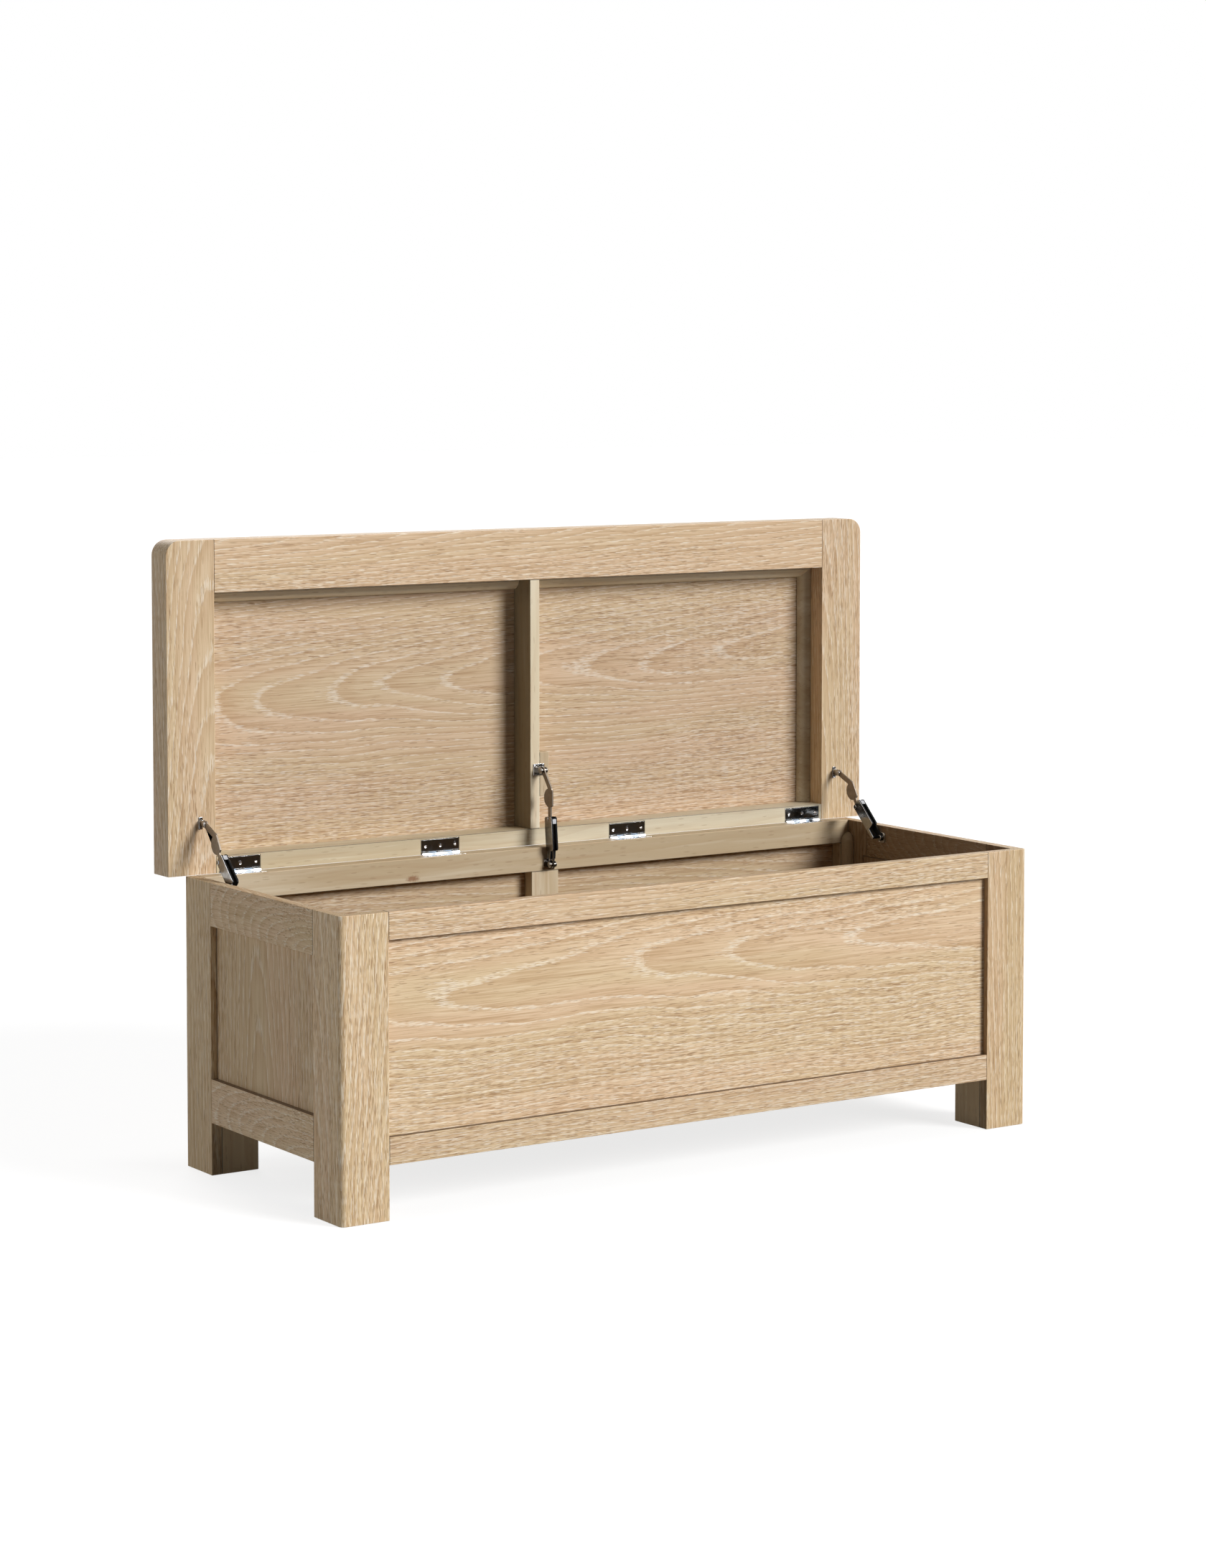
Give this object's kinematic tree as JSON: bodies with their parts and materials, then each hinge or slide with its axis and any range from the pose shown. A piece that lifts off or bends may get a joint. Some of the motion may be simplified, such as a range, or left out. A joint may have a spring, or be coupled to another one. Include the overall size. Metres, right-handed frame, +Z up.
{
  "type": "blanket chest",
  "caption": "Frame-and-panel blanket chest on square feet, with an open framed lid on butt hinges and folding lid stays.",
  "frame": {"origin": "on the ground under the middle of the whole object's depth and length, lid open", "axes": "+X along the length, to the right seen from the front; +Y from the front to the back; +Z up"},
  "size_m": [1.2, 0.483, 0.87],
  "materials": {
    "oak": "limed oak, oiled satin",
    "secondary_wood": "smooth pale secondary timber, satin",
    "hinge_chrome": "polished",
    "stay_metal": "dark polished"
  },
  "bodies": {
    "chest": {"front_panel": "oak", "back_panel": "oak", "floor_panel": "secondary_wood", "leg_front_left": "oak", "leg_front_right": "oak", "stile_rear_left": "oak", "stile_rear_right": "oak", "side_top_rail_left": "oak", "side_top_rail_right": "oak", "side_bottom_rail_left": "oak", "side_bottom_rail_right": "oak", "side_panel_left": "oak", "side_panel_right": "oak", "back_stile_left": "secondary_wood", "back_stile_right": "secondary_wood", "foot_block_front_left": "secondary_wood", "foot_block_front_right": "secondary_wood", "foot_block_back_left": "secondary_wood", "foot_block_back_right": "secondary_wood", "corner_moulding_left": "secondary_wood", "corner_moulding_right": "secondary_wood", "front_top_rail": "oak", "front_bottom_rail": "oak", "back_top_rail": "secondary_wood", "back_bottom_rail": "secondary_wood", "back_muntin": "secondary_wood", "hinge_1_box_leaf": "hinge_chrome", "hinge_1_pin": "hinge_chrome", "hinge_2_box_leaf": "hinge_chrome", "hinge_2_pin": "hinge_chrome", "hinge_3_box_leaf": "hinge_chrome", "hinge_3_pin": "hinge_chrome", "hinge_4_box_leaf": "hinge_chrome", "hinge_4_pin": "hinge_chrome", "stay_box_bracket_left": "stay_metal", "stay_box_bracket_right": "stay_metal", "stay_box_bracket_centre": "stay_metal"},
    "lid": {"lid_stile_left": "oak", "lid_stile_right": "oak", "lid_front_rail": "oak", "lid_back_rail": "secondary_wood", "lid_panel": "oak", "lid_muntin": "secondary_wood", "lid_packer": "secondary_wood", "lid_bead_left": "secondary_wood", "lid_bead_right": "secondary_wood", "hinge_1_lid_leaf": "hinge_chrome", "hinge_2_lid_leaf": "hinge_chrome", "hinge_3_lid_leaf": "hinge_chrome", "hinge_4_lid_leaf": "hinge_chrome", "stay_lid_bracket_left": "stay_metal", "stay_lid_bracket_right": "stay_metal", "stay_lid_bracket_centre": "stay_metal"},
    "arm_left": {"stay_arm_left": "stay_metal"},
    "arm_right": {"stay_arm_right": "stay_metal"},
    "arm_centre": {"stay_arm_centre": "stay_metal"},
    "casing_left": {"stay_casing_left": "stay_metal"},
    "casing_right": {"stay_casing_right": "stay_metal"},
    "casing_centre": {"stay_casing_centre": "stay_metal"}
  },
  "joints": [
    {"name": "lid_hinge", "type": "hinge", "parent": "chest", "child": "lid", "pos_m": [0, 0.191, 0.406], "axis": [1, 0, 0], "range_deg": [0, 90]},
    {"name": "stay_arm_left_pivot", "type": "hinge", "parent": "lid", "child": "arm_left", "pos_m": [-0.55, 0.1785, 0.4775], "axis": [1, 0, 0], "range_deg": [-55.28, 0]},
    {"name": "stay_arm_right_pivot", "type": "hinge", "parent": "lid", "child": "arm_right", "pos_m": [0.55, 0.1785, 0.4775], "axis": [1, 0, 0], "range_deg": [-55.28, 0]},
    {"name": "stay_arm_centre_pivot", "type": "hinge", "parent": "lid", "child": "arm_centre", "pos_m": [0.006, 0.1785, 0.5165], "axis": [1, 0, 0], "range_deg": [-48.91, 0]},
    {"name": "stay_casing_left_pivot", "type": "hinge", "parent": "chest", "child": "casing_left", "pos_m": [-0.55412, 0.0795, 0.3875], "axis": [1, 0, 0], "range_deg": [-104.72, 0]},
    {"name": "stay_casing_right_pivot", "type": "hinge", "parent": "chest", "child": "casing_right", "pos_m": [0.55412, 0.0795, 0.3875], "axis": [1, 0, 0], "range_deg": [-104.72, 0]},
    {"name": "stay_casing_centre_pivot", "type": "hinge", "parent": "chest", "child": "casing_centre", "pos_m": [0.006, 0.15475, 0.3805], "axis": [1, 0, 0], "range_deg": [0, 145.57]}
  ],
  "couplings": [
    {"joint": "stay_arm_left_pivot", "follows": "lid_hinge", "ratio": -0.61426},
    {"joint": "stay_arm_right_pivot", "follows": "lid_hinge", "ratio": -0.61426},
    {"joint": "stay_arm_centre_pivot", "follows": "lid_hinge", "ratio": -0.54346},
    {"joint": "stay_casing_left_pivot", "follows": "lid_hinge", "ratio": -1.1635},
    {"joint": "stay_casing_right_pivot", "follows": "lid_hinge", "ratio": -1.1635},
    {"joint": "stay_casing_centre_pivot", "follows": "lid_hinge", "ratio": 1.6174}
  ]
}
